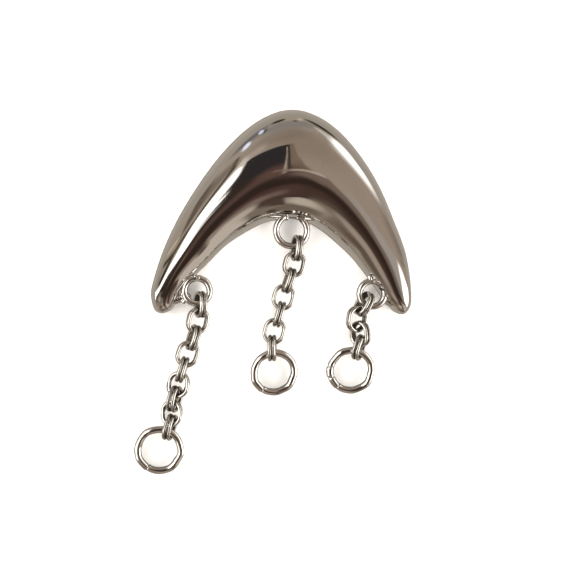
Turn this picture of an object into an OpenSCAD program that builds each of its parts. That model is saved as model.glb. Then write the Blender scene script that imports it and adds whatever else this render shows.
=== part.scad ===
// Charm holder brooch: a domed crescent with three short chains, each ending
// in an open round ring for charms. Millimetres, +Z out of the face, +Y towards
// the apex of the crescent. The brooch lies on its back rim, at z = 0.

/* [Body] */
// Height of the dome at the apex
dome_h = 6.4; // [5.8:0.1:7]
// Thickness of the stamped shell
wall = 0.9; // [0.8:0.05:1.1]

/* [Soldered rings] */
// Wire of the rings soldered to the inner edge
hook_wire = 1.2; // [1:0.05:1.2]
// Height of the middle of that wire above the back rim
hook_z = 1.8; // [1.75:0.05:1.85]

/* [Chain links] */
// Wire of a link
link_wire = 0.7; // [0.6:0.05:0.7]
// Outside length of an oval link
link_l = 4.9; // [4.88:0.01:4.92]
// Outside width of an oval link
link_w = 4.1; // [4.06:0.02:4.12]

/* [Charm rings] */
// Wire of the three charm rings
charm_wire = 1.35; // [1.25:0.05:1.4]
// Outside diameter of the left charm ring
charm_left_d = 9.1; // [9.05:0.05:9.15]
// Outside diameter of the middle charm ring
charm_middle_d = 8.85; // [8.8:0.05:8.9]
// Outside diameter of the right charm ring
charm_right_d = 8.95; // [8.9:0.05:9]

/* [Pin] */
// Length of the pin's bar
pin_len = 19; // [17:0.5:19.5]
// Thickness of the pin's stem
pin_stem = 0.9; // [0.7:0.05:0.9]

/* [Hidden] */
LINK_ROWS = [9, 7, 4];
SIDES = ["left", "middle", "right"];

silver = "#cfc9c0";
silver_dark = "#b9b2a8";

// ---- Body ----------------------------------------------------------------
// One row for each section across the crescent, from the left tip to the right.
// The dome rises from the outer point, over the ridge, to the inner point.
// columns: outer_x, outer_y, inner_x, inner_y, share of dome_h
SECTIONS = [
    [-20.75, -4.05, -20.1, -4.05, 0.14],
    [-21.55, -3.6, -19.1, -3.7, 0.26],
    [-21.95, -2.8, -18.5, -3.2, 0.33],
    [-22.3, -1.2, -18.0, -2.4, 0.39],
    [-22.15, 0.8, -17.2, -0.8, 0.44],
    [-21.5, 3.2, -15.9, 1.2, 0.49],
    [-19.9, 7.8, -12.5, 4.5, 0.58],
    [-17.3, 13.3, -9.2, 7.8, 0.67],
    [-13.75, 19.15, -5.8, 10.2, 0.77],
    [-9.05, 25.35, -2.5, 12.0, 0.88],
    [-3.0, 30.8, 0.6, 12.9, 0.97],
    [3.6, 33.1, 3.6, 13.1, 1.0],
    [10.2, 30.8, 6.4, 12.4, 0.97],
    [15.75, 25.35, 9.2, 10.8, 0.88],
    [19.9, 18.85, 12.2, 8.3, 0.77],
    [22.65, 12.55, 14.9, 5.7, 0.67],
    [24.55, 7.65, 17.0, 3.1, 0.58],
    [25.5, 3.2, 19.1, 0.3, 0.5],
    [25.9, -1.0, 21.0, -2.4, 0.42],
    [25.8, -2.65, 21.95, -3.4, 0.36],
    [25.35, -3.75, 22.7, -4.05, 0.28],
    [24.5, -4.5, 23.7, -4.5, 0.15],
];
STEPS = 3;      // sections made between two rows
ARC = 14;       // steps over the dome in a section

function row(i) = SECTIONS[max(0, min(len(SECTIONS) - 1, i))];
function blend(a, b, c, d, t) =
    0.5 * (2 * b + (c - a) * t + (2 * a - 5 * b + 4 * c - d) * t * t + (3 * b - a - 3 * c + d) * t * t * t);
function section(u) = let (i = min(floor(u), len(SECTIONS) - 2))
    blend(row(i - 1), row(i), row(i + 1), row(i + 2), u - i);

// The closed ring of points of one section. inset makes the hollow's section,
// which goes down past the rim by drop.
function profile(s, inset, drop) =
    let (o = [s[0], s[1]], i = [s[2], s[3]], half = (o - i) / 2, mid = (o + i) / 2,
        r = norm(half), k = max(0.05, r - inset) / r, h = max(0.05, s[4] * dome_h - inset))
    concat(
        [for (j = [0:ARC]) let (a = 180 * j / ARC)
            [mid[0] + half[0] * k * cos(a), mid[1] + half[1] * k * cos(a), h * pow(sin(a), 0.92)]],
        drop > 0 ? [for (e = [-1, 1]) [mid[0] + half[0] * k * e, mid[1] + half[1] * k * e, -drop]] : []);

module loft(u0, u1, inset, drop) {
    n = round((u1 - u0) * STEPS);
    rings = [for (q = [0:n]) profile(section(u0 + (u1 - u0) * q / n), inset, drop)];
    m = len(rings[0]);
    points = [for (r = rings) each r];
    sides = [for (q = [0:n - 1]) for (j = [0:m - 1])
        let (a = q * m + j, b = q * m + (j + 1) % m) each [[a, b + m, b], [a, a + m, b + m]]];
    ends = [[for (j = [0:m - 1]) j], [for (j = [m - 1:-1:0]) n * m + j]];
    polyhedron(points, concat(sides, ends), convexity = 6);
}

// ---- Soldered rings --------------------------------------------------------
// columns: centre_x, centre_y, outside diameter
HOOKS = [[-14.1, 0.0, 5.8], [3.2, 10.95, 6.9], [18.2, -0.65, 5.9]];
// Solder spots: which ring, angle on the ring, reach towards the shell, size
SOLDER = [
    [0, 118, 0.55, 0.62], [0, 145, 0.5, 0.68], [0, 172, 0.65, 0.66], [0, 196, 0.85, 0.6],
    [1, 50, 0.35, 0.66], [1, 132, 0.35, 0.66],
    [2, 72, 0.6, 0.62], [2, 40, 0.35, 0.66], [2, 8, 0.3, 0.66], [2, -28, 0.65, 0.62],
];

module torus(outside, wire, fine_ring = 96, fine_wire = 32)
    rotate_extrude($fn = fine_ring) translate([(outside - wire) / 2, 0]) circle(d = wire, $fn = fine_wire);

module hook(i) translate([HOOKS[i][0], HOOKS[i][1], hook_z]) torus(HOOKS[i][2], hook_wire, 32, 10);

module solder(s) {
    r = (HOOKS[s[0]][2] - hook_wire) / 2;
    translate([HOOKS[s[0]][0], HOOKS[s[0]][1], hook_z]) rotate([0, 0, s[1]]) hull() {
        translate([r, 0, 0]) sphere(r = s[3], $fn = 10);
        translate([r + s[2], 0, -0.25]) sphere(r = s[3] * 0.9, $fn = 10);
    }
}

module body() color(silver) difference() {
    union() {
        loft(0, len(SECTIONS) - 1, 0, 0);
        for (i = [0:2]) hook(i);
        for (s = SOLDER) solder(s);
    }
    loft(3, len(SECTIONS) - 4, wall, 1);
}

// ---- Pin -------------------------------------------------------------------
PIN_X = 3.5;
PIN_Y = 23;
module along_x(x, z, d, l) translate([x, 0, z]) rotate([0, 90, 0]) cylinder(d = d, h = l, $fn = 32);
module pin_clasp() color(silver_dark) translate([PIN_X, PIN_Y, 0]) {
    half = pin_len / 2;
    // bar
    translate([-half, -1.2, 1.95]) cube([pin_len, 2.4, 0.7]);
    // hinge block
    translate([-half + 0.4, -1.2, 0.35]) cube([2.2, 2.4, 2.0]);
    // stem
    along_x(-half + 1.4, 1.15, pin_stem, pin_len - 4.2);
    translate([half - 2.8, 0, 1.15]) rotate([0, 90, 0]) cylinder(d1 = pin_stem, d2 = 0.35, h = 2.2, $fn = 32);
    // catch, open at one side
    difference() {
        translate([half - 2.6, -1.2, 0.3]) cube([1.6, 2.4, 2.0]);
        along_x(half - 3, 1.15, 1.2, 2.4);
        translate([half - 3, 0, 0.85]) cube([2.4, 1.6, 0.6]);
    }
}

// ---- Chains ----------------------------------------------------------------
// A row for each doubled link of a chain: the middle of the pair, a turn of its
// heading away from the line between its neighbours, and its roll about that
// heading. A roll of 0 lies flat and 90 stands on edge.
// columns: x, y, turn, roll
LEFT = [
    [-13.5, -2.45, 4, 75],
    [-14.0, -5.4, 0, -15],
    [-14.8, -8.45, 0, 78],
    [-15.85, -11.4, 0, -5],
    [-16.8, -14.2, 0, 98],
    [-17.55, -16.9, 0, 15],
    [-18.2, -19.5, 0, 108],
    [-18.75, -22.05, 0, 22],
    [-19.05, -24.6, -6, 100],
];
MIDDLE = [
    [4.15, 7.75, 0, 82],
    [3.65, 4.8, 0, -5],
    [2.65, 1.85, 0, 88],
    [1.65, -1.2, 0, 5],
    [0.9, -4.3, 0, 97],
    [-0.05, -7.4, -2, 6],
    [-0.45, -10.45, 7, 92],
];
RIGHT = [
    [16.6, -2.5, -1, 70],
    [15.3, -5.3, 0, -20],
    [15.9, -8.0, 2, 50],
    [15.75, -10.5, -10, 118],
];
CHAINS = [LEFT, MIDDLE, RIGHT];

// What the ends of each chain are aimed at. columns: start_x, start_y, end_x, end_y
AIM = [
    [-13.5, 0.2, -19.5, -26.9],
    [4.2, 11.0, -0.8, -13.2],
    [17.8, -0.6, 15.2, -13.2],
];
carried_z = 2.1;     // height of a pair that its neighbours carry

bend_r = (link_w - link_wire) / 2;
straight = link_l - link_w;
pair_gap = 0.03;
pair_off = (link_wire + pair_gap) / 2;

function link_z(r) = max(carried_z, bend_r * abs(sin(r)) + pair_off * abs(cos(r)) + link_wire / 2 + 0.02);
function centre(c, k) =
    k < 0 ? [AIM[c][0], AIM[c][1], link_z(CHAINS[c][0][3])] :
    k >= len(CHAINS[c]) ? [AIM[c][2], AIM[c][3], link_z(CHAINS[c][k - 1][3])] :
    [CHAINS[c][k][0], CHAINS[c][k][1], link_z(CHAINS[c][k][3])];

// An oval of round wire: two half rings joined by two straights
module oval() for (e = [0, 180]) rotate([0, 0, e]) {
    translate([straight / 2, 0, 0]) rotate([0, 0, -90])
        rotate_extrude(angle = 180, $fn = 96) translate([bend_r, 0]) circle(d = link_wire, $fn = 32);
    translate([-straight / 2, bend_r, 0]) rotate([0, 90, 0]) cylinder(d = link_wire, h = straight, $fn = 32);
}

// One oval of a doubled link; s is -1 or 1
module link(c, k, s) {
    d = centre(c, k + 1) - centre(c, k - 1);
    color(silver) translate(centre(c, k))
        rotate([CHAINS[c][k][3], -atan2(d[2], norm([d[0], d[1]])), atan2(d[1], d[0]) + CHAINS[c][k][2]])
            translate([0, 0, s * pair_off]) oval();
}

// ---- Charm rings -----------------------------------------------------------
// Each lies on the surface at its far side and on the last link at its near
// side. columns: centre_x, centre_y, angle towards the chain, near height
CHARM = [[-20.95, -28.8, 65, 1.95], [0.0, -15.0, 102, 2.15], [14.3, -14.8, 68, 2.05]];
module charm_ring(c, outside) {
    far = charm_wire / 2 + 0.02;
    r = (outside - charm_wire) / 2;
    color(silver) translate([CHARM[c][0], CHARM[c][1], (far + CHARM[c][3]) / 2])
        rotate([0, -asin((CHARM[c][3] - far) / (2 * r)), CHARM[c][2]]) torus(outside, charm_wire);
}
module left_charm_ring() charm_ring(0, charm_left_d);
module middle_charm_ring() charm_ring(1, charm_middle_d);
module right_charm_ring() charm_ring(2, charm_right_d);

body();
pin_clasp();
left_charm_ring();
middle_charm_ring();
right_charm_ring();
for (c = [0:2]) for (k = [1:LINK_ROWS[c]]) {
    link(c, k - 1, -1);
    link(c, k - 1, 1);
}
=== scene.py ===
import bpy
import bmesh
import math
import numpy as np
from mathutils import Matrix, Vector


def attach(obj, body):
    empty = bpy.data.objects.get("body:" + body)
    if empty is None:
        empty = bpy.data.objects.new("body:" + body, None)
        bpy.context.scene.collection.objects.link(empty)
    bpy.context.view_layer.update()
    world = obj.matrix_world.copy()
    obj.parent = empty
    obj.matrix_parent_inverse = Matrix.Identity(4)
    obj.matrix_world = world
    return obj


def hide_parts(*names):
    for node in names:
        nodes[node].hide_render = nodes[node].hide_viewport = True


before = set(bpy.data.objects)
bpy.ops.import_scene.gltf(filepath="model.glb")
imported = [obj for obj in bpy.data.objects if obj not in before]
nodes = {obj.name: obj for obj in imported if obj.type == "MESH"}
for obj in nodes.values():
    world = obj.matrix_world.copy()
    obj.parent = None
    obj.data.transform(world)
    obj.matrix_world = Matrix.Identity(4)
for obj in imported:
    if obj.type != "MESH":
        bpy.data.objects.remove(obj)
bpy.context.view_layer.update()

MM = 0.001
scene = bpy.context.scene

# ---------------------------------------------------------------- camera
TILT = math.radians(8.0)
aim = Vector((1.95, 1.02, 2.0)) * MM
away = Vector((-math.sin(TILT), math.sin(math.radians(1.3)), math.cos(TILT))).normalized()
cam_data = bpy.data.cameras.new("camera")
cam_data.lens = 85
cam_data.sensor_width = 36
cam_data.clip_start = 0.01
cam_data.clip_end = 10
cam = bpy.data.objects.new("camera", cam_data)
scene.collection.objects.link(cam)
z_axis = away
x_axis = Vector((0, 1, 0)).cross(z_axis).normalized()
y_axis = z_axis.cross(x_axis)
m = Matrix((x_axis, y_axis, z_axis)).transposed().to_4x4()
m.translation = aim + away * 245.5 * MM
cam.matrix_world = m
scene.camera = cam

scene.view_settings.view_transform = "Standard"
scene.view_settings.look = "None"
scene.view_settings.exposure = 0.0
scene.view_settings.gamma = 1.0


# ---------------------------------------------------------------- colours
def lin(v):
    v = v / 255.0
    return v / 12.92 if v <= 0.04045 else ((v + 0.055) / 1.055) ** 2.4


def tone(r, g, b, gain=1.0):
    return (lin(r) * gain, lin(g) * gain, lin(b) * gain, 1.0)


# ---------------------------------------------------------------- node helper
class Tree:
    def __init__(self, tree):
        self.t = tree
        for n in list(tree.nodes):
            tree.nodes.remove(n)

    def new(self, kind, **attrs):
        n = self.t.nodes.new(kind)
        for k, v in attrs.items():
            setattr(n, k, v)
        return n

    def put(self, socket, value):
        if isinstance(value, bpy.types.NodeSocket):
            self.t.links.new(value, socket)
        else:
            socket.default_value = value

    def math(self, op, a, b=0.0, c=None, clamp=False):
        n = self.new("ShaderNodeMath", operation=op, use_clamp=clamp)
        self.put(n.inputs[0], a)
        self.put(n.inputs[1], b)
        if c is not None:
            self.put(n.inputs[2], c)
        return n.outputs[0]

    def ramp(self, v, lo, hi, a=0.0, b=1.0):
        n = self.new("ShaderNodeMapRange", interpolation_type="SMOOTHSTEP", clamp=True)
        self.put(n.inputs["Value"], v)
        n.inputs["From Min"].default_value = lo
        n.inputs["From Max"].default_value = hi
        n.inputs["To Min"].default_value = a
        n.inputs["To Max"].default_value = b
        return n.outputs["Result"]

    def mix(self, f, a, b, blend="MIX"):
        n = self.new("ShaderNodeMix", data_type="RGBA", blend_type=blend)
        self.put(n.inputs[0], f)
        self.put(n.inputs[6], a)
        self.put(n.inputs[7], b)
        return n.outputs[2]

    def noise(self, vec, scale, detail=2.0, rough=0.5, distort=0.0, dim="3D"):
        n = self.new("ShaderNodeTexNoise", noise_dimensions=dim)
        if vec is not None:
            self.put(n.inputs["Vector"], vec)
        n.inputs["Scale"].default_value = scale
        n.inputs["Detail"].default_value = detail
        n.inputs["Roughness"].default_value = rough
        n.inputs["Distortion"].default_value = distort
        return n.outputs["Fac"]

    def scaled(self, vec, s):
        n = self.new("ShaderNodeMapping")
        self.put(n.inputs["Vector"], vec)
        n.inputs["Scale"].default_value = s
        return n.outputs["Vector"]


# ---------------------------------------------------------------- studio
# The room round the table, drawn on a flat fisheye: u and v are degrees from
# straight up towards +X and +Y, so the table's horizon is the circle of 90.
world = bpy.data.worlds.new("studio")
scene.world = world
world.use_nodes = True
W = Tree(world.node_tree)
coord = W.new("ShaderNodeTexCoord")
sep = W.new("ShaderNodeSeparateXYZ")
W.put(sep.inputs[0], coord.outputs["Generated"])
dx, dy, dz = sep.outputs
flat = W.math("MAXIMUM", W.math("SQRT", W.math("ADD", W.math("MULTIPLY", dx, dx), W.math("MULTIPLY", dy, dy))), 1e-4)
polar = W.math("MULTIPLY", W.math("ARCTAN2", flat, dz), 180 / math.pi)
ku = W.math("DIVIDE", polar, flat)
U = W.math("MULTIPLY", dx, ku)
V = W.math("MULTIPLY", dy, ku)
join = W.new("ShaderNodeCombineXYZ")
W.put(join.inputs[0], U)
W.put(join.inputs[1], V)
join.inputs[2].default_value = 1.0
UV1 = join.outputs[0]


def plane(nu, nv, c):
    """nu * U + nv * V + c"""
    n = W.new("ShaderNodeVectorMath", operation="DOT_PRODUCT")
    W.put(n.inputs[0], UV1)
    n.inputs[1].default_value = (nu, nv, c)
    return n.outputs["Value"]


def ellipse(cu, cv, ru, rv, turn=0.0, soft=0.25):
    """1 inside an ellipse, fading out over soft of its radius."""
    c, s = math.cos(math.radians(turn)), math.sin(math.radians(turn))
    p = plane(c / ru, s / ru, -(c * cu + s * cv) / ru)
    q = plane(-s / rv, c / rv, (s * cu - c * cv) / rv)
    r = W.math("SQRT", W.math("MULTIPLY_ADD", p, p, W.math("MULTIPLY", q, q)))
    return W.ramp(r, 1 - soft, 1 + soft, 1.0, 0.0)


def polygon(points, soft=1.5):
    """1 inside a convex polygon given anticlockwise, with edges soft degrees wide."""
    out = None
    for k, (u0, v0) in enumerate(points):
        u1, v1 = points[(k + 1) % len(points)]
        n = math.hypot(u1 - u0, v1 - v0)
        nu, nv = -(v1 - v0) / n, (u1 - u0) / n
        e = W.ramp(plane(nu, nv, -(nu * u0 + nv * v0)), -soft, soft)
        out = e if out is None else W.math("MULTIPLY", out, e)
    return out


def stroke(u0, v0, u1, v1, r, soft=0.5):
    """1 within r degrees of a line between two points."""
    du, dv = u1 - u0, v1 - v0
    ll = du * du + dv * dv
    t = W.math("ADD", plane(du / ll, dv / ll, -(du * u0 + dv * v0) / ll), 0.0, clamp=True)
    n = W.new("ShaderNodeVectorMath", operation="MULTIPLY_ADD")
    W.put(n.inputs[0], t)
    n.inputs[1].default_value = (du, dv, 0)
    n.inputs[2].default_value = (u0, v0, 1)
    d = W.new("ShaderNodeVectorMath", operation="DISTANCE")
    W.put(d.inputs[0], UV1)
    W.put(d.inputs[1], n.outputs["Vector"])
    return W.ramp(d.outputs["Value"], r - soft, r + soft, 1.0, 0.0)


METAL_GAIN = 1 / 0.78
sky = W.mix(W.ramp(V, -90, 60), tone(128, 115, 103, METAL_GAIN), tone(150, 138, 125, METAL_GAIN))
layers = [
    # warm, lighter towards +X; grey and dimmer low behind the apex
    (ellipse(62, 10, 44, 22, 8, 0.55), (144, 130, 118), 0.85),
    (ellipse(16, 32, 30, 22, 10, 0.6), (128, 113, 101), 0.8),
    (ellipse(-6, 46, 26, 12, 0, 0.5), (116, 104, 93), 0.6),
    (ellipse(0, 66, 44, 10, 0, 0.5), (118, 114, 111), 0.8),
    # the room towards -Y, as strips fanning out from overhead
    (polygon([(-84, -66), (-60, -84), (0, -18), (-4, -16)], 5), (140, 130, 118), 0.9),
    (polygon([(-78, -62), (-74, -66), (-20, -24), (-20, -21)], 1.5), (186, 175, 161), 0.8),
    (polygon([(-56, -44), (-50, -52), (-2, -18), (-6, -15)], 3), (112, 98, 85), 0.8),
    (ellipse(-42, -54, 9, 4, 35, 0.7), (84, 72, 61), 0.7),
    (polygon([(-40, -62), (-28, -72), (-2, -24), (-10, -24)], 3), (104, 90, 79), 0.85),
    (ellipse(-32, -48, 10, 9, 30, 0.5), (80, 67, 56), 0.85),
    (polygon([(-22, -78), (-10, -84), (1, -24), (-6, -24)], 3), (116, 104, 92), 0.9),
    (ellipse(6, -74, 26, 14, 0, 0.45), (96, 86, 74), 0.9),
    (ellipse(-2, -24, 8, 6, 0, 0.5), (56, 43, 35), 0.9),
    (ellipse(-15, -36, 8, 6, 25, 0.5), (152, 138, 127), 0.85),
    (polygon([(-1, -45), (16, -46), (10, -15), (3, -15)], 2), (72, 52, 48), 1.0),
    (ellipse(0, -30, 6, 14, 0, 0.5), (62, 48, 40), 0.8),
    (ellipse(1, -56, 13, 9, 0, 0.55), (176, 165, 152), 0.9),
    (ellipse(7, -45, 8, 1.8, -8, 0.6), (46, 36, 30), 0.9),
    (polygon([(13, -42), (17, -64), (28, -58), (15, -20), (11, -20)], 1.5), (64, 49, 42), 0.95),
    (polygon([(22, -60), (40, -80), (54, -74), (26, -40)], 4), (112, 101, 90), 0.9),
    (ellipse(45, -73, 8, 6, -40, 0.5), (52, 43, 36), 0.95),
    (ellipse(30, -82, 4, 12, 10, 0.5), (58, 50, 42), 0.9),
    (polygon([(17, -31), (44, -68), (80, -66), (74, -54), (31, -31)], 2), (182, 171, 160), 0.92),
    (ellipse(17, -34, 5, 6, 0, 0.6), (124, 108, 98), 0.8),
    (polygon([(12, -18), (32, -36), (46, -40), (46, -31), (20, -18)], 1.5), (62, 49, 41), 0.95),
    (polygon([(34, -28), (56, -44), (92, -52), (92, -40), (40, -24)], 3), (134, 118, 105), 0.9),
    # towards +X: a big pale screen under thin dark lines
    (stroke(74, 24.5, 99, 31.5, 0.9, 0.8), (92, 82, 68), 0.8),
    (ellipse(84, 18, 20, 8, 18, 0.6), (116, 105, 95), 0.8),
    (stroke(68, 5.5, 104, 11, 0.9, 0.9), (116, 110, 100), 0.8),
    (polygon([(24, -3), (22, -13), (40, -22), (46, -22), (54, 1)], 3), (152, 145, 139), 0.85),
    (ellipse(27, -14.5, 5, 3.5, -20, 0.5), (88, 85, 90), 0.8),
    (polygon([(42, -8), (42, -20), (52, -30), (66, -44), (104, -48), (104, -3), (80, 1), (66, 1.5), (52, 0)], 1.8), (255, 252, 246), 1.0),
    # a bright window at the upper right, dark furniture above it
    (ellipse(64, 35, 17, 8, -14, 0.6), (222, 216, 208), 0.85),
    (ellipse(62, 43, 15, 9, -35, 0.6), (255, 255, 252), 1.0),
    (ellipse(44, 57, 9, 4, -38, 0.6), (190, 184, 176), 0.85),
    (ellipse(50, 71, 21, 6, -32, 0.35), (40, 32, 24), 1.0),
    (ellipse(38, 80, 10, 5, -20, 0.5), (54, 46, 38), 0.8),
    (ellipse(80, 47, 4.5, 5, -30, 0.5), (96, 92, 90), 0.9),
    # low things behind the apex
    (ellipse(-16, 83, 10, 5, 8, 0.35), (46, 40, 35), 0.95),
    (ellipse(10, 74, 4, 2, 0, 0.5), (58, 50, 42), 0.9),
    (ellipse(20, 80, 5, 4, 0, 0.5), (178, 170, 158), 0.8),
    (ellipse(-44, 72, 18, 9, 38, 0.4), (96, 93, 97), 0.85),
    (ellipse(-30, 68, 3, 5, 20, 0.5), (62, 60, 66), 0.9),
    (ellipse(-43, 57, 3.5, 6, 25, 0.4), (222, 226, 242), 1.0),
    (ellipse(-34.3, 70.5, 2.6, 5.5, 25, 0.4), (206, 210, 228), 0.95),
    # the dark doorway to the left
    (stroke(-66, 50, -53, 28, 4.6, 3), (80, 70, 62), 0.95),
    (ellipse(-46, 35, 4, 9, 20, 0.6), (156, 147, 137), 0.7),
    (stroke(-43, 44, -37.6, 32, 1.7, 1.2), (64, 56, 46), 0.9),
    (stroke(-37.4, 32, -38.2, 20, 1.9, 1.2), (58, 50, 40), 0.95),
    (stroke(-96, 34, -61, 25.8, 1.3, 1.2), (186, 175, 152), 0.85),
    (ellipse(-50, 36, 11, 9, 0, 0.6), (100, 88, 77), 0.75),
    (ellipse(-68, 52, 10, 7, 30, 0.6), (156, 145, 135), 0.85),
    (stroke(-84, 26, -56, 18, 1.3, 1.2), (58, 52, 34), 1.0),
    (stroke(-56, 15.5, -41, 17.0, 2.6, 2.0), (70, 62, 50), 1.0),
    (ellipse(-62, 12, 13, 4.4, 3, 0.4), (42, 36, 27), 1.0),
    (ellipse(-87, 17, 11, 6, -14, 0.4), (120, 114, 114), 0.9),
    # the room below the bright strip
    (polygon([(-10, 2), (-34, 5), (-56, 8), (-94, 0), (-94, -32), (-26, -32), (-4, -18)], 2.5), (112, 101, 92), 0.95),
    (polygon([(-8, 1), (-34, -1), (-38, -8), (-30, -17), (-4, -22)], 3), (44, 34, 29), 0.95),
    (ellipse(-42, -3.6, 10, 3, -10, 0.45), (34, 30, 27), 1.0),
    (ellipse(-54, -7, 5, 3.5, -30, 0.5), (60, 53, 47), 0.95),
    (ellipse(-62, -13, 4.5, 7, -20, 0.5), (76, 69, 62), 0.9),
    (ellipse(-71, -21, 5, 10, -10, 0.5), (84, 77, 70), 0.9),
    (ellipse(-30, -10, 7, 1.8, -22, 0.6), (96, 85, 76), 0.6),
    (ellipse(-13, -16, 8.5, 2.6, -20, 0.5), (46, 40, 37), 0.95),
    (ellipse(-24, 36, 7, 6, 20, 0.6), (150, 137, 126), 0.7),
    (ellipse(-44, -20, 9, 6, 0, 0.6), (168, 156, 146), 0.85),
    (stroke(-96, -31.2, -30, -31.8, 0.7, 0.5), (50, 44, 38), 0.85),
    (stroke(-96, -32.8, -30, -33.4, 0.7, 0.5), (186, 174, 156), 0.8),
    (stroke(-96, -34.2, -30, -34.8, 0.7, 0.5), (44, 38, 33), 0.85),
    # the long bright strip from overhead down to the left
    (polygon([(-23.5, 24), (-27, 33), (-33, 37), (-35, 20)], 2.2), (198, 188, 178), 0.95),
    (polygon([(-15.5, 3), (-23, 17), (-24.4, 25), (-31, 27), (-34, 21), (-37.5, 12.5), (-39, 1.5), (-29, 0.8)], 1.2), (255, 255, 250), 1.0),
    (polygon([(-11.5, -1), (-16, 6.5), (-30, 8), (-30, 0.5), (-19, -2)], 1.2), (255, 255, 250), 1.0),
    (polygon([(-36, 1), (-36, 12.5), (-50, 8), (-66, 5.5), (-66, -3.5), (-50, -2)], 1.3), (255, 255, 250), 1.0),
    (polygon([(-48, -1), (-48, 7.5), (-66, 5.5), (-81, 7), (-90, 4), (-100, -5), (-100, -8), (-74, -10)], 1.5), (255, 255, 250), 1.0),
    (polygon([(-73, -6), (-100, -4), (-100, -28), (-88, -28), (-77, -14)], 2), (255, 255, 250), 1.0),
    # overhead: a dark panel, then a thin pale seam and a brown edge
    (polygon([(6, 28), (0, 28.5), (2, 10), (7, -12), (12, -4)], 1.2), (106, 90, 75), 0.8),
    (polygon([(3, 27), (-1, 27.5), (-26.5, 28.5), (-20, 9), (-12, -1), (2, -14), (8, -14)], 0.9), (44, 40, 41), 1.0),
    (ellipse(6, -18, 10, 7, 0, 0.5), (48, 36, 31), 0.9),
    (ellipse(1, -5, 9, 8, 20, 0.6), (84, 63, 57), 0.95),
    (ellipse(17, -15, 6, 5, 0, 0.6), (100, 86, 77), 0.85),
    (stroke(1.5, 24, 6.0, -8, 0.45, 0.3), (160, 146, 130), 0.85),
    (stroke(2.5, 24, 7.1, -8, 0.4, 0.3), (48, 40, 38), 0.7),
    (stroke(-15, 3, 3, -13, 2.4, 2.0), (50, 40, 35), 0.95),
    (ellipse(1, -17, 6, 5, 0, 0.5), (46, 35, 31), 0.9),
    (polygon([(9, -6), (9, -16), (20, -12), (18, -4)], 1.5), (100, 82, 74), 0.8),
    (stroke(7.5, -5.4, 16, -4.2, 1.1, 1.0), (172, 160, 146), 0.8),
    (stroke(2, -3, 6, -4.6, 0.9, 0.9), (134, 118, 108), 0.7),
    (polygon([(10, -18), (22, -17), (21, -13), (12, -13.5)], 1), (60, 47, 44), 0.9),
    (stroke(9, -19.5, 26, -24.5, 3.6, 2.0), (46, 35, 29), 0.95),
    # small corrections to what the shell's waist mirrors
    (ellipse(0, -7, 6, 5, 0, 0.7), (88, 67, 60), 0.75),
    (ellipse(18, -14, 5, 3.5, -15, 0.6), (108, 94, 84), 0.8),
    (ellipse(24, -25, 5, 2.6, -40, 0.5), (58, 46, 38), 0.9),
    (ellipse(24, -33, 4, 3, -45, 0.6), (114, 101, 91), 0.7),
    (ellipse(25, -42, 8, 4.5, -52, 0.5), (176, 164, 152), 0.8),
    (ellipse(-23, 34, 7, 3.6, 0, 0.5), (160, 147, 136), 0.8),
]
for mask, (r, g, b), amount in layers:
    gain = METAL_GAIN * (1.5 if r > 250 else 1.0)
    sky = W.mix(W.math("MULTIPLY", mask, amount), sky, tone(r, g, b, gain))
# below the table's horizon
low = W.mix(W.ramp(polar, 96, 130), tone(148, 140, 130, METAL_GAIN), tone(160, 152, 143, METAL_GAIN))
low = W.mix(W.ramp(polar, 145, 178), low, tone(60, 52, 45, METAL_GAIN))
sky = W.mix(W.ramp(polar, 87, 92), sky, low)
bg = W.new("ShaderNodeBackground")
W.put(bg.inputs["Color"], sky)
bg.inputs["Strength"].default_value = 1.0
# the floor and the camera get a plain soft light in its place, mostly from low around
plain = W.new("ShaderNodeBackground")
plain.inputs["Color"].default_value = (1.0, 0.99, 0.975, 1.0)
W.put(plain.inputs["Strength"], W.ramp(polar, 42, 60, 0.15, 4.0))
rays = W.new("ShaderNodeLightPath")
pick = W.new("ShaderNodeMixShader")
W.put(pick.inputs[0], rays.outputs["Is Glossy Ray"])
W.put(pick.inputs[1], plain.outputs[0])
W.put(pick.inputs[2], bg.outputs[0])
out = W.new("ShaderNodeOutputWorld")
W.put(out.inputs["Surface"], pick.outputs[0])


def area(name, loc, target, size, watts, colour=(1, 1, 1), glossy=False):
    d = bpy.data.lights.new(name, "AREA")
    d.shape = "SQUARE"
    d.size = size * MM
    d.energy = watts
    d.color = colour
    o = bpy.data.objects.new(name, d)
    scene.collection.objects.link(o)
    p, t = Vector(loc) * MM, Vector(target) * MM
    o.matrix_world = Matrix.Translation(p) @ (t - p).to_track_quat("-Z", "Y").to_matrix().to_4x4()
    o.visible_glossy = glossy
    return o


wires = bpy.data.collections.new("wires")


def side_card(name, azimuth, polar, wide, high, bright):
    """A white card beside the brooch that only the wires mirror."""
    a, b = math.radians(azimuth), math.radians(polar)
    d = 400
    o = area(name, (d * math.sin(b) * math.cos(a), d * math.sin(b) * math.sin(a), d * math.cos(b)), (0, 0, 0), 1, 1, (1, 0.99, 0.97), True)
    o.data.shape = "RECTANGLE"
    o.data.size = 2 * d * math.tan(math.radians(wide / 2)) * MM
    o.data.size_y = 2 * d * math.tan(math.radians(high / 2)) * MM
    o.data.energy = bright * math.pi * o.data.size * o.data.size_y
    o.light_linking.receiver_collection = wires


side_card("card_left", 178, 55, 80, 46, 1.5)
side_card("card_right", -8, 62, 60, 36, 1.5)
area("soft_top", (-40, 60, 420), (0, 0, 0), 420, 0.3)
area("soft_left", (-360, 40, 260), (0, 0, 0), 300, 0.9)
area("soft_right", (340, -80, 260), (0, 0, 0), 300, 0.9)

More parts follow.
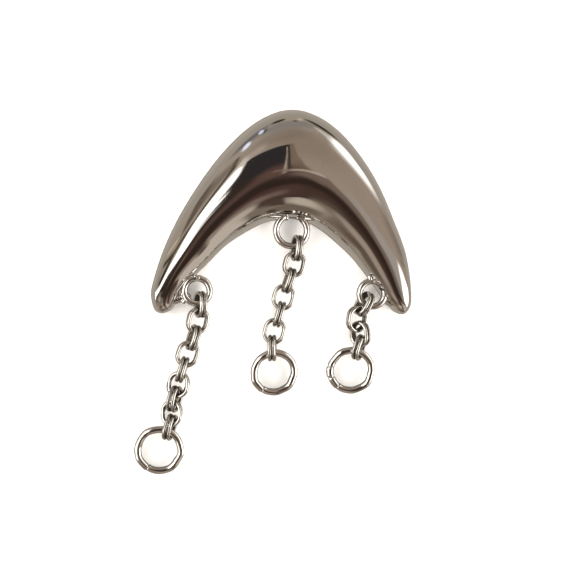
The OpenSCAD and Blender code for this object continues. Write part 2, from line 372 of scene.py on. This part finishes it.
# ---------------------------------------------------------------- floor
bm = bmesh.new()
bmesh.ops.create_grid(bm, x_segments=8, y_segments=8, size=1.5)
floor_mesh = bpy.data.meshes.new("floor")
bm.to_mesh(floor_mesh)
bm.free()
floor = bpy.data.objects.new("floor", floor_mesh)
floor.location = (0, 0, -0.00002)
scene.collection.objects.link(floor)
floor_mat = bpy.data.materials.new("pale_floor")
floor_mat.use_nodes = True
F = Tree(floor_mat.node_tree)
fb = F.new("ShaderNodeBsdfDiffuse")
fb.inputs["Color"].default_value = (0.92, 0.885, 0.84, 1)
fo = F.new("ShaderNodeOutputMaterial")
F.put(fo.inputs["Surface"], fb.outputs[0])
floor_mesh.materials.append(floor_mat)
floor.visible_glossy = False


# ---------------------------------------------------------------- metal
def metal(name, base, rough, wave, scratch, tarnish, fine=1.0, patina_shade_amount=0.0):
    """Polished plate: a mirror with slow hand-polished waviness, hairlines and a little tarnish, plus darker tarnish
    and painted shade where the mesh's per-point mask asks for them.
    """
    mat = bpy.data.materials.new(name)
    mat.use_nodes = True
    T = Tree(mat.node_tree)
    tc = T.new("ShaderNodeTexCoord")
    pos = tc.outputs["Object"]
    p = T.new("ShaderNodeBsdfPrincipled")
    p.inputs["Metallic"].default_value = 1.0
    p.inputs["IOR"].default_value = 1.5
    cloud = T.noise(pos, 260, 4, 0.6)
    spots = T.noise(pos, 1500, 3, 0.65)
    dull = T.math("MULTIPLY", T.ramp(cloud, 0.5, 0.75), T.ramp(spots, 0.45, 0.7))
    colour = T.mix(T.math("MULTIPLY", dull, tarnish), tuple(base) + (1,), (base[0] * 0.62, base[1] * 0.55, base[2] * 0.46, 1))
    # darker where the mesh's per-point mask says: tarnish in crevices, and painted shade between parts, on undersides
    # and along wire edges
    if patina_shade_amount:
        patina_shade_attr = T.new("ShaderNodeAttribute", attribute_name="recess")
        patina_and_shade = T.math("MULTIPLY", patina_shade_attr.outputs["Fac"], T.ramp(cloud, 0.2, 0.6, 0.75, 1.0))
        colour = T.mix(T.math("MULTIPLY", patina_and_shade, patina_shade_amount), colour, (0.10, 0.082, 0.066, 1))
    T.put(p.inputs["Base Color"], colour)
    hair_a = T.noise(T.scaled(pos, (2500, 90, 2500)), 1.0, 2, 0.5)
    hair_b = T.noise(T.scaled(pos, (120, 2600, 2600)), 1.0, 2, 0.5)
    lines = T.math("ADD", T.ramp(hair_a, 0.62, 0.72), T.ramp(hair_b, 0.64, 0.74))
    r = T.math("ADD", rough, T.math("MULTIPLY", dull, 0.10 * tarnish))
    r = T.math("ADD", r, T.math("MULTIPLY", lines, 0.03 * scratch))
    T.put(p.inputs["Roughness"], r)
    b1 = T.new("ShaderNodeBump")
    b1.inputs["Strength"].default_value = 1.0
    b1.inputs["Distance"].default_value = wave
    T.put(b1.inputs["Height"], T.noise(pos, 170 * fine, 1.0, 0.4))
    b2 = T.new("ShaderNodeBump")
    b2.inputs["Strength"].default_value = 1.0
    b2.inputs["Distance"].default_value = 0.0000004 * scratch
    T.put(b2.inputs["Height"], lines)
    T.put(b2.inputs["Normal"], b1.outputs["Normal"])
    T.put(p.inputs["Normal"], b2.outputs["Normal"])
    o = T.new("ShaderNodeOutputMaterial")
    T.put(o.inputs["Surface"], p.outputs[0])
    return mat


body_mat = metal("polished_body", (0.80, 0.78, 0.75), 0.035, 0.000012, 1.0, 0.25)
solder_mat = metal("polished_solder", (0.80, 0.78, 0.75), 0.11, 0.000002, 0.0, 0.3, 3.0, 0.9)
ring_mat = metal("polished_ring", (0.82, 0.80, 0.77), 0.10, 0.000004, 0.3, 0.3, 2.0, 0.85)
link_mat = metal("polished_link", (0.71, 0.68, 0.635), 0.13, 0.0000015, 0.0, 0.2, 3.0, 0.95)
pin_mat = metal("satin_pin", (0.62, 0.60, 0.57), 0.28, 0.000006, 2.0, 0.5, 3.0)


def add_mesh(name, verts, faces, mat, smooth=True, recess=None):
    me = bpy.data.meshes.new(name)
    me.from_pydata([tuple(v) for v in verts], [], faces)
    me.update()
    if recess is not None:
        me.attributes.new("recess", "FLOAT", "POINT").data.foreach_set("value", np.clip(recess, 0, 1).ravel().tolist())
    me.polygons.foreach_set("use_smooth", [smooth] * len(me.polygons))
    me.materials.append(mat)
    o = bpy.data.objects.new(name, me)
    scene.collection.objects.link(o)
    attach(o, "root")
    return o


# ---------------------------------------------------------------- crescent
# columns: outer_x, outer_y, inner_x, inner_y, share of the dome's height
SECTIONS = [
    (-20.4, -4.12, -20.4, -4.12, 0.0),
    (-20.75, -4.05, -20.1, -4.05, 0.14),
    (-21.55, -3.6, -19.1, -3.7, 0.26),
    (-21.95, -2.8, -18.5, -3.2, 0.33),
    (-22.3, -1.2, -18.0, -2.4, 0.39),
    (-22.15, 0.8, -17.2, -0.8, 0.44),
    (-21.5, 3.2, -15.9, 1.2, 0.49),
    (-19.9, 7.8, -12.5, 4.5, 0.58),
    (-17.3, 13.3, -9.2, 7.8, 0.67),
    (-13.75, 19.15, -5.8, 10.2, 0.77),
    (-9.05, 25.35, -2.5, 12.0, 0.88),
    (-3.0, 30.8, 0.6, 12.9, 0.97),
    (3.6, 33.1, 3.6, 13.1, 1.0),
    (10.2, 30.8, 6.4, 12.4, 0.97),
    (15.75, 25.35, 9.2, 10.8, 0.88),
    (19.9, 18.85, 12.2, 8.3, 0.77),
    (22.65, 12.55, 14.9, 5.7, 0.67),
    (24.55, 7.65, 17.0, 3.1, 0.58),
    (25.5, 3.2, 19.1, 0.3, 0.5),
    (25.9, -1.0, 21.0, -2.4, 0.42),
    (25.8, -2.65, 21.95, -3.4, 0.36),
    (25.35, -3.75, 22.7, -4.05, 0.28),
    (24.5, -4.5, 23.7, -4.5, 0.15),
    (24.0, -4.55, 24.0, -4.55, 0.0),
]
DOME = 6.4
WALL = 0.9
LIP = 0.16     # rounding of the rim


def spline(x, y, q):
    """Natural cubic spline through the rows y at x, read at q."""
    n = len(x)
    h = np.diff(x)
    A, B = np.eye(n), np.zeros_like(y)
    for k in range(1, n - 1):
        A[k, k - 1:k + 2] = h[k - 1], 2 * (h[k - 1] + h[k]), h[k]
        B[k] = 6 * ((y[k + 1] - y[k]) / h[k] - (y[k] - y[k - 1]) / h[k - 1])
    m2 = np.linalg.solve(A, B)
    k = np.clip(np.searchsorted(x, q, side="right") - 1, 0, n - 2)
    t, H = (q - x[k])[:, None], h[k][:, None]
    c = (y[k + 1] - y[k]) / H - H * (2 * m2[k] + m2[k + 1]) / 6
    return y[k] + t * (c + t * (m2[k] / 2 + t * (m2[k + 1] - m2[k]) / (6 * H)))


rows = np.array(SECTIONS)
step = np.diff(rows * np.array([1, 1, 1, 1, DOME]), axis=0)
along = np.r_[0, np.cumsum(np.sqrt((step ** 2).sum(1)))]
count = 330
q = np.linspace(0, along[-1], count)
S = spline(along, rows, q)
S[0], S[-1] = rows[0], rows[-1]

ARC_OUT, ARC_IN, CORNER = 72, 36, 4
verts, faces = [], []
loop_len = None
mid_all = (S[:, 0:2] + S[:, 2:4]) / 2
len_mid = np.r_[0, np.cumsum(np.linalg.norm(np.diff(mid_all, axis=0), axis=1))]
for k in range(1, count - 1):
    o2, i2, share = S[k, 0:2], S[k, 2:4], S[k, 4]
    half, mid = (o2 - i2) / 2, (o2 + i2) / 2
    r = max(np.linalg.norm(half), 1e-4)
    w = half / r
    h = max(share * DOME, 0.02)
    lip = min(LIP, 0.35 * r, 0.35 * h)
    loop = []
    # over the dome, from the outer rim to the inner one
    for j in range(ARC_OUT + 1):
        a = math.pi * j / ARC_OUT
        loop.append((r * math.cos(a), lip + (h - lip) * math.sin(a) ** 0.92))
    # round the inner lip and under it
    for j in range(1, CORNER + 1):
        a = math.pi / 2 * j / CORNER
        loop.append((-r + lip - lip * math.cos(a), lip - lip * math.sin(a)))
    # the hollow, which runs out before the tips
    near_end = min(len_mid[k], len_mid[-1] - len_mid[k])
    open_ = min(max((near_end - 3.0) / 2.2, 0.0), 1.0)
    open_ = open_ * open_ * (3 - 2 * open_)
    ri = max(r - WALL, 0.3 * r)
    hi = max(h - WALL, 0.0) * open_
    for j in range(ARC_IN + 1):
        a = math.pi * (1 - j / ARC_IN)
        loop.append((ri * math.cos(a), hi * math.sin(a) ** 0.92))
    for j in range(CORNER, 0, -1):
        a = math.pi / 2 * j / CORNER
        loop.append((r - lip + lip * math.cos(a), lip - lip * math.sin(a)))
    loop_len = len(loop)
    for (s, z) in loop:
        p2 = mid + w * s
        verts.append((min(max(p2[0], -25.48), 25.9) * MM, min(p2[1], 33.09) * MM, min(z, DOME - 0.01) * MM))
rings = count - 2
for k in range(rings - 1):
    for j in range(loop_len):
        a, b = k * loop_len + j, k * loop_len + (j + 1) % loop_len
        faces.append((a, b, b + loop_len, a + loop_len))
tip_a = len(verts)
verts.append((rows[0, 0] * MM, rows[0, 1] * MM, 0.15 * MM))
tip_b = len(verts)
verts.append((rows[-1, 0] * MM, rows[-1, 1] * MM, 0.15 * MM))
for j in range(loop_len):
    faces.append((tip_a, (j + 1) % loop_len, j))
    base = (rings - 1) * loop_len
    faces.append((tip_b, base + j, base + (j + 1) % loop_len))
crescent = add_mesh("crescent", verts, faces, body_mat)
bm = bmesh.new()
bm.from_mesh(crescent.data)
bmesh.ops.recalc_face_normals(bm, faces=bm.faces)
bm.to_mesh(crescent.data)
bm.free()
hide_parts("body")


# ---------------------------------------------------------------- wire
def axes_of(node):
    """Middle, and unit axes from the longest to the shortest, of a CAD node's mesh."""
    co = np.array([v.co[:] for v in nodes[node].data.vertices], float)
    d = co - co.mean(0)
    axes = np.linalg.eigh(d.T @ d)[1].T[::-1]
    ext = [((co @ a).max(), (co @ a).min()) for a in axes]
    centre = sum(a * (hi + lo) / 2 for a, (hi, lo) in zip(axes, ext))
    if axes[2][2] < 0:
        axes[2] = -axes[2]
    return centre, axes, [hi - lo for hi, lo in ext]


def tube(name, centre, outward, normal, radius, mat, sides, recess):
    """A closed tube along the points centre. radius has a row for each point and a column for each side,
    and the last argument, given (outward part, normal part), says how much dark tarnish and painted shade each side
    gets."""
    n = len(centre)
    a = np.arange(sides) * 2 * math.pi / sides
    ring = outward[:, None, :] * np.cos(a)[None, :, None] + normal[None, None, :] * np.sin(a)[None, :, None]
    vs = (centre[:, None, :] + ring * radius[:, :, None]).reshape(-1, 3)
    i, j = np.meshgrid(np.arange(n), np.arange(sides), indexing="ij")
    i2, j2 = (i + 1) % n, (j + 1) % sides
    fs = np.stack([i * sides + j, i2 * sides + j, i2 * sides + j2, i * sides + j2], -1).reshape(-1, 4)
    keep = np.ones((n, 1)) * recess(np.cos(a), np.sin(a))[None, :]
    o = add_mesh(name, vs.tolist(), fs.tolist(), mat, recess=keep)
    wires.objects.link(o)
    return o


def step_up(x, lo, hi):
    t = np.clip((x - lo) / (hi - lo), 0, 1)
    return t * t * (3 - 2 * t)


# ---------------------------------------------------------------- links
LINK_WIRE = 0.7
LINK_BEND = 1.7        # radius of the wire's middle line in the round ends
LINK_STRAIGHT = 0.8


def oval_path():
    """Points and outward directions of an oval's middle line, long way along x."""
    pts, outs = [], []
    for e in (0, 1):
        for k in range(40):
            a = math.pi * (k / 40 - 0.5) + math.pi * e
            sx = (LINK_STRAIGHT / 2) * (1 - 2 * e)
            pts.append((sx + LINK_BEND * math.cos(a), LINK_BEND * math.sin(a)))
            outs.append((math.cos(a), math.sin(a)))
        for k in range(5):
            y = LINK_BEND * (1 - 2 * e)
            pts.append(((LINK_STRAIGHT / 2 - LINK_STRAIGHT * k / 5) * (1 - 2 * e), y))
            outs.append((0.0, 1.0 - 2 * e))
    return np.array(pts), np.array(outs)


PTS, OUTS = oval_path()
FAN = 11.0     # the two ovals of a pair lie crossed by this many degrees each way
SLIP = 0.15    # and this far off each other's middle
ROLL = 9.0     # the flatter pairs lean over by up to this much more
# pairs with no room for that between their neighbours
TIGHT = ["left_link_%d" % k for k in range(1, 6)] + ["middle_link_%d" % k for k in range(1, 7)] + ["right_link_%d" % k for k in range(1, 5)]
for pair in sorted({n[:-1] for n in nodes if "_link_" in n}):
    ca, (ax, ay, an), ext = axes_of(pair + "a")
    cb = axes_of(pair + "b")[0]
    if (cb - ca) @ an < 0:
        an = -an          # from oval a to oval b
    if ax[1] > 0:
        ax = -ax          # the long way points down the chain
    lean = math.degrees(math.acos(min(abs(an[2]), 1.0)))
    across = np.cross(ax, an)
    loose = 0.0 if pair in TIGHT else 1.0
    turn = loose * math.radians(ROLL * min(max((45 - lean) / 20, -1), 1)) * (-1 if an[2] * across[2] > 0 else 1)
    an = an * math.cos(turn) + across * math.sin(turn)
    ay = np.cross(an, ax)
    made = []
    for which, s in (("a", -1), ("b", 1)):
        seed = sum((i + 1) * ord(ch) for i, ch in enumerate(pair + which))
        fan = loose * math.radians(FAN * (1 if seed % 3 else 0.6)) * s
        bx, by = ax * math.cos(fan) + ay * math.sin(fan), ay * math.cos(fan) - ax * math.sin(fan)
        t = np.linspace(0, 2 * math.pi, len(PTS), endpoint=False)
        thin = 0.006 + 0.005 * np.sin(2 * t + seed) + 0.004 * np.sin(5 * t + 1.7 * seed)
        centre = (ca + cb) / 2 + an * (s * np.linalg.norm(cb - ca) / 2) + (PTS[:, :1] * bx + PTS[:, 1:] * by + s * loose * SLIP * ay) * MM
        made.append((pair + which, centre, OUTS[:, :1] * bx + OUTS[:, 1:] * by, -s * an, thin))
    lift = max(0.0, 0.356 * MM - min(m_[1][:, 2].min() for m_ in made))
    for name, centre, outward, normal, thin in made:
        # each oval is darker on its inside and on the side facing its twin, tarnish in the crevices and painted shade
        # between the parts, with a painted dark line along its outer edge
        ring = tube(name + "_wire", centre + np.array([0, 0, lift]), outward, normal, ((LINK_WIRE / 2 - thin) * MM)[:, None] * np.ones((1, 22)), link_mat, 22,
                    lambda o, n_: np.maximum(0.35 * step_up(o, 0.85, 1.0), np.maximum(step_up(-o, 0.25, 0.85), step_up(n_, 0.25, 0.8))))
        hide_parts(name)

# ---------------------------------------------------------------- charm rings
# Bent by hand from thick wire: rows are angle, change of radius and width of the
# change in degrees; then the angle of the butt joint.
BENDS = {
    "left": ([(18, -0.06, 12), (-8, 0.05, 10), (-32, -0.1, 12), (-58, 0.06, 10), (95, -0.05, 14), (128, 0.06, 10), (158, -0.06, 14), (204, 0.05, 10)], 237),
    "middle": ([(-42, 0.07, 9), (-20, -0.08, 11), (-66, -0.06, 10), (30, 0.04, 12), (118, -0.08, 12), (160, -0.04, 12), (205, 0.07, 9), (182, -0.05, 10), (262, -0.05, 12)], 236),
    "right": ([(-38, 0.09, 9), (-12, -0.08, 11), (-66, -0.07, 11), (22, 0.05, 10), (118, 0.05, 9), (142, -0.08, 11), (262, -0.04, 12)], 231),
}
CHARM_WIRE = 1.35
for side, (bends, joint) in BENDS.items():
    name = side + "_charm_ring"
    c, (ax, ay, an), ext = axes_of(name)
    r = (ext[0] / MM - CHARM_WIRE) / 2
    ex = np.array([1.0, 0, 0]) - an * an[0]
    ex /= np.linalg.norm(ex)
    ey = np.cross(an, ex)
    N, SIDES = 400, 40
    t = np.arange(N) * 360 / N
    dr, dw = np.zeros(N), np.zeros(N)
    for a0, amount, width in bends:
        gap = (t - a0 + 180) % 360 - 180
        dr += amount * np.exp(-(gap / width) ** 2)
    gap = (t - joint + 180) % 360 - 180
    near = np.exp(-(gap / 9.0) ** 2)
    dr += np.where(gap < 0, 0.05, -0.06) * near - 0.005
    dw += -0.022 + 0.012 * np.sin(np.radians(3 * t + joint)) + 0.01 * np.sin(np.radians(7 * t))
    dw -= 0.16 * np.exp(-(gap / 1.0) ** 2)
    if side == "right":
        # the end of the wire, laid over the outside of the ring
        lap = (t - 184 + 180) % 360 - 180
        dr += 0.10 * np.exp(-(lap / 15.0) ** 4)
        dw += 0.05 * np.exp(-(lap / 13.0) ** 6) - 0.10 * np.exp(-((np.abs(lap) - 15.0) / 2.0) ** 2)
    a = np.arange(SIDES) * 2 * math.pi / SIDES
    flat = 1 - 0.03 * np.cos(4 * a + 0.6)[None, :] * (1 + np.sin(np.radians(2 * t))[:, None]) / 2
    radius = (CHARM_WIRE / 2 + dw)[:, None] * flat * MM
    e = np.cos(np.radians(t))[:, None] * ex + np.sin(np.radians(t))[:, None] * ey
    # painted shade: the wire is darker along its inner and outer edges, dark lines standing in for shade and dark
    # reflections
    ring = tube(name + "_wire", c + e * ((r + dr) * MM)[:, None], e, an, radius, ring_mat, SIDES,
                lambda o, n_: 0.8 * step_up(-o, 0.78, 0.97) + 0.5 * step_up(o, 0.84, 0.98))
    # the butt joint is darkened on top of that painted edge shade
    edge_shade_and_seam = np.zeros(N * SIDES)
    ring.data.attributes["recess"].data.foreach_get("value", edge_shade_and_seam)
    edge_shade_and_seam = np.maximum(edge_shade_and_seam.reshape(N, SIDES), np.exp(-(gap / 1.3) ** 2)[:, None])
    ring.data.attributes["recess"].data.foreach_set("value", edge_shade_and_seam.ravel().tolist())
    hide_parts(name)

# ---------------------------------------------------------------- soldered rings
HOOKS = [(-14.1, 0.0, 5.8), (3.2, 10.95, 6.9), (18.2, -0.65, 5.9)]
HOOK_Z, HOOK_WIRE = 1.8, 1.2
# beads of solder: which ring, x, y, z, size, then the same for where it runs to
BEADS = [
    (0, -15.9, -1.0, 1.35, 0.7, -18.2, -1.7, 0.95, 0.85),
    (0, -16.2, 0.9, 1.3, 0.6, -17.2, 1.0, 1.2, 0.7),
    (0, -16.5, -0.4, 1.95, 0.42, -16.7, -0.6, 1.9, 0.42),
    (0, -16.3, -1.75, 1.85, 0.42, -16.5, -1.95, 1.75, 0.45),
    (0, -13.9, 2.35, 2.05, 0.42, -14.4, 2.6, 1.9, 0.45),
    (0, -15.8, 1.75, 1.9, 0.42, -16.1, 2.0, 1.8, 0.45),
    (1, 1.2, 12.9, 1.5, 0.65, 0.6, 13.6, 1.3, 0.7),
    (1, 5.3, 12.9, 1.5, 0.65, 5.9, 13.4, 1.3, 0.7),
    (1, 2.2, 13.2, 2.15, 0.42, 2.1, 13.4, 2.1, 0.42),
    (1, 4.3, 13.2, 2.25, 0.3, 5.4, 12.9, 2.2, 0.3),
    (2, 20.4, -1.6, 1.35, 0.65, 21.8, -2.4, 1.0, 0.8),
    (2, 18.9, 2.0, 1.4, 0.6, 19.6, 2.6, 1.2, 0.7),
    (2, 17.8, 2.1, 2.05, 0.42, 17.7, 2.5, 1.95, 0.45),
    (2, 20.3, 0.4, 2.05, 0.42, 20.5, 0.6, 2.0, 0.42),
    (2, 20.6, -0.9, 2.0, 0.42, 20.8, -1.0, 1.95, 0.42),
]


RIM = S[:, 2:4]
RUN = np.gradient(RIM, axis=0)
RUN /= np.linalg.norm(RUN, axis=1)[:, None]
INTO = np.stack([-RUN[:, 1], RUN[:, 0]], 1)
INTO *= np.sign((INTO * (S[:, 0:2] - RIM)).sum(1))[:, None]


def past_edge(points):
    """How far, in mm, points lie past the crescent's inner edge, towards its outer one."""
    edge = np.concatenate([((part[:, None, :2] - RIM[None]) ** 2).sum(2).argmin(1) for part in np.array_split(points, 8)])
    return ((points[:, :2] - RIM[edge]) * INTO[edge]).sum(1)


def ball_chain(p, q, r0, r1, steps=6):
    """Overlapping balls from p to q as closed shapes."""
    out = []
    for k in range(steps + 1):
        t = k / steps
        c, r = p + (q - p) * t, r0 + (r1 - r0) * t
        bm = bmesh.new()
        bmesh.ops.create_icosphere(bm, subdivisions=3, radius=r, matrix=Matrix.Translation(c))
        out.append(([v.co[:] for v in bm.verts], [[v.index for v in f.verts] for f in bm.faces]))
        bm.free()
    return out


def blend(name, parts, middle, voxel, rounds):
    """One smooth skin over overlapping closed shapes given in mm."""
    vs, fs = [], []
    for v, f in parts:
        fs += [[i + len(vs) for i in q_] for q_ in f]
        vs += v
    raw = bpy.data.meshes.new(name + "_raw")
    raw.from_pydata(vs, [], fs)
    o = bpy.data.objects.new(name + "_raw", raw)
    scene.collection.objects.link(o)
    skin = o.modifiers.new("skin", "REMESH")
    skin.mode = "VOXEL"
    skin.voxel_size = voxel
    soft = o.modifiers.new("soft", "SMOOTH")
    soft.factor = 0.5
    soft.iterations = rounds
    dg = bpy.context.evaluated_depsgraph_get()
    made = bpy.data.meshes.new_from_object(o.evaluated_get(dg))
    bpy.data.objects.remove(o)
    # the skin can close around a speck inside: only whole blobs stay
    bm = bmesh.new()
    bm.from_mesh(made)
    rest, specks = set(bm.verts), []
    while rest:
        island, ends = [], [rest.pop()]
        while ends:
            v = ends.pop()
            island.append(v)
            for e_ in v.link_edges:
                w = e_.other_vert(v)
                if w in rest:
                    rest.discard(w)
                    ends.append(w)
        if len(island) < 50:
            specks += island
    bmesh.ops.delete(bm, geom=specks, context="VERTS")
    bm.to_mesh(made)
    bm.free()
    co = np.zeros(len(made.vertices) * 3)
    made.vertices.foreach_get("co", co)
    co = co.reshape(-1, 3)
    deep = past_edge(co)
    made.transform(Matrix.Scale(MM, 4))
    made.polygons.foreach_set("use_smooth", [True] * len(made.polygons))
    co = np.zeros(len(made.vertices) * 3)
    no = np.zeros(len(made.vertices) * 3)
    made.vertices.foreach_get("co", co)
    made.vertices.foreach_get("normal", no)
    co, no = co.reshape(-1, 3) / MM, no.reshape(-1, 3)
    # darker facing into the ring and where it runs under the crescent's edge, tarnish and painted shade in those
    # crevices, and painted shade on its down-facing sides
    out2 = co[:, :2] - np.array(middle)
    out2 /= np.linalg.norm(out2, axis=1)[:, None] + 1e-9
    keep = np.maximum(step_up(-(no[:, :2] * out2).sum(1), 0.35, 0.9), 0.5 * step_up(-no[:, 2], 0.1, 0.6))
    keep = np.maximum(keep, 0.7 * step_up(deep, 0.15, 0.6))
    made.attributes.new("recess", "FLOAT", "POINT").data.foreach_set("value", keep.tolist())
    made.materials.clear()
    made.materials.append(solder_mat)
    made.name = name
    piece = bpy.data.objects.new(name, made)
    scene.collection.objects.link(piece)
    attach(piece, "root")
    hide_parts("body")
    wires.objects.link(piece)
    return piece


for k, (hx, hy, hd) in enumerate(HOOKS):
    side = ("left", "middle", "right")[k]
    t = np.linspace(0, 2 * math.pi, 200, endpoint=False)
    e = np.stack([np.cos(t), np.sin(t), 0 * t], 1)
    wob = 0.006 * np.sin(3 * t + k) + 0.004 * np.sin(5 * t + 2 * k)
    line = np.array([hx, hy, HOOK_Z]) + e * ((hd - HOOK_WIRE) / 2 - wob)[:, None]
    line[:, 2] -= 0.35 * np.clip(past_edge(line) - 0.2, 0, 1.6)
    # painted shade: the hook's wire is darker on its inside and along its outer edge, dark lines standing in for shade
    # and dark reflections
    ring = tube(side + "_hook", line * MM, e, np.array([0, 0, 1.0]), (HOOK_WIRE / 2 - 0.01 - 0.01 * np.cos(4 * t))[:, None] * np.ones((1, 36)) * MM, solder_mat, 36,
                lambda o, n_: np.maximum(step_up(-o, 0.62, 0.95), 0.45 * step_up(o, 0.84, 0.98)))
    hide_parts("body")
    parts = []
    # its solder
    for row in BEADS:
        if row[0] == k:
            parts += ball_chain(Vector(row[1:4]), Vector(row[5:8]), row[4], row[8])
    blend(side + "_solder", parts, (hx, hy), 0.05, 30)

# ---------------------------------------------------------------- pin
nodes["pin_clasp"].data.materials.clear()
nodes["pin_clasp"].data.materials.append(pin_mat)
